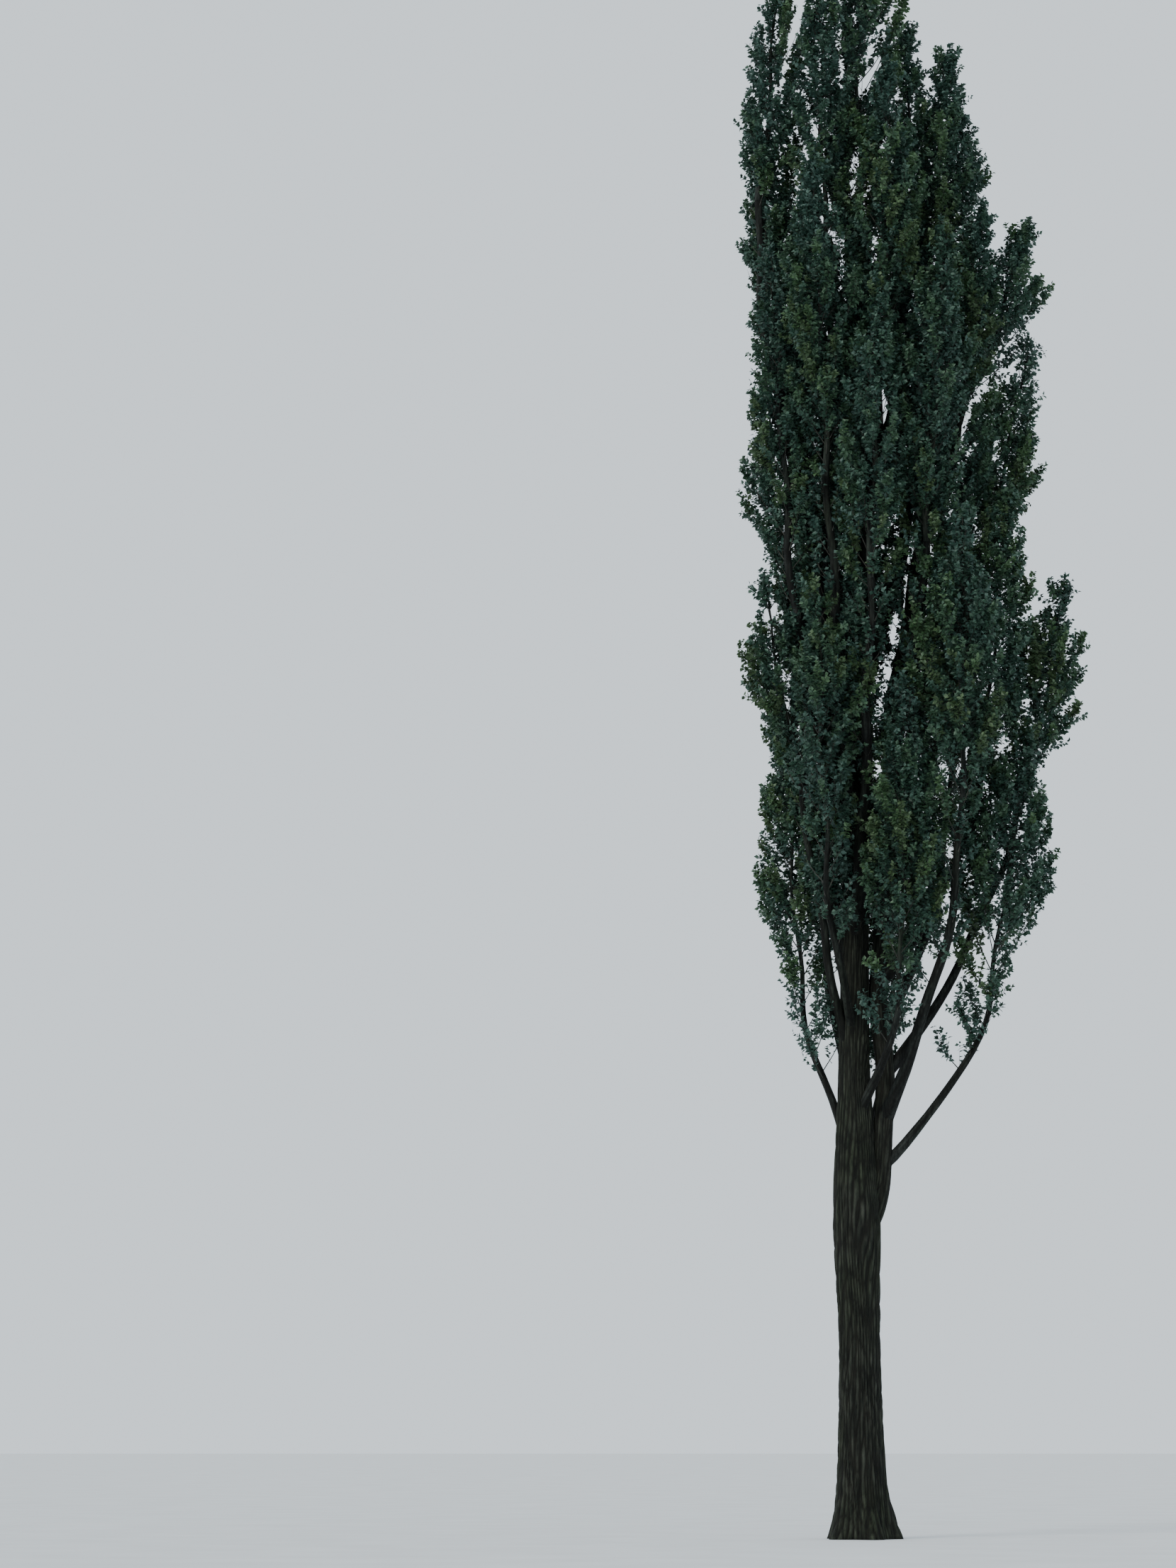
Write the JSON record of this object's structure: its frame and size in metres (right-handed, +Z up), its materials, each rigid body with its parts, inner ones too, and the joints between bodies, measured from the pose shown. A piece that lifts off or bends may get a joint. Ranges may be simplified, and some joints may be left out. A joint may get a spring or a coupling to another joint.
{
  "type": "lombardy poplar tree",
  "caption": "Tall columnar Lombardy poplar in summer leaf: a straight flared trunk forks into steep boughs, each carrying an upright flame-shaped mass of foliage.",
  "frame": {"origin": "middle of the flat cut under the trunk, at ground level", "axes": "+Z up along the trunk, +X towards the side where the crown bulges furthest, -Y towards the viewer of the front"},
  "size_m": [6.3351, 4.5623, 28.7417],
  "materials": {
    "trunk_bark": "rough, deeply furrowed grey-brown bark",
    "bough_bark": "smoother grey-brown bark",
    "foliage": "dark green leaves with a soft sheen"
  },
  "bodies": {
    "root": {"back_left_high_bough": "bough_bark", "back_left_high_foliage": "foliage", "back_left_low_bough": "bough_bark", "back_left_low_foliage": "foliage", "back_low_bough": "bough_bark", "back_low_foliage": "foliage", "back_middle_bough": "bough_bark", "back_middle_foliage": "foliage", "back_right_high_bough": "bough_bark", "back_right_high_foliage": "foliage", "back_right_middle_bough": "bough_bark", "back_right_middle_foliage": "foliage", "crown_back_bough": "bough_bark", "crown_back_foliage": "foliage", "crown_front_bough": "bough_bark", "crown_front_foliage": "foliage", "crown_left_bough": "bough_bark", "crown_left_foliage": "foliage", "crown_right_bough": "bough_bark", "crown_right_foliage": "foliage", "front_left_high_bough": "bough_bark", "front_left_high_foliage": "foliage", "front_left_low_bough": "bough_bark", "front_left_low_foliage": "foliage", "front_low_bough": "bough_bark", "front_low_foliage": "foliage", "front_middle_bough": "bough_bark", "front_middle_foliage": "foliage", "front_right_high_bough": "bough_bark", "front_right_high_foliage": "foliage", "front_right_middle_bough": "bough_bark", "front_right_middle_foliage": "foliage", "leader_foliage": "foliage", "left_high_bough": "bough_bark", "left_high_foliage": "foliage", "left_leader_bough": "bough_bark", "left_leader_foliage": "foliage", "left_low_bough": "bough_bark", "left_low_foliage": "foliage", "left_lowest_bough": "bough_bark", "left_lowest_foliage": "foliage", "left_middle_bough": "bough_bark", "left_middle_foliage": "foliage", "left_upper_bough": "bough_bark", "left_upper_foliage": "foliage", "right_high_foliage": "foliage", "right_inner_bough": "bough_bark", "right_inner_foliage": "foliage", "right_low_bough": "bough_bark", "right_low_foliage": "foliage", "right_middle_bough": "bough_bark", "right_middle_foliage": "foliage", "right_shoulder_bough": "bough_bark", "right_shoulder_foliage": "foliage", "right_top_bough": "bough_bark", "right_top_foliage": "foliage", "right_wide_bough": "bough_bark", "right_wide_foliage": "foliage", "second_stem": "trunk_bark", "trunk": "trunk_bark"}
  },
  "joints": []
}
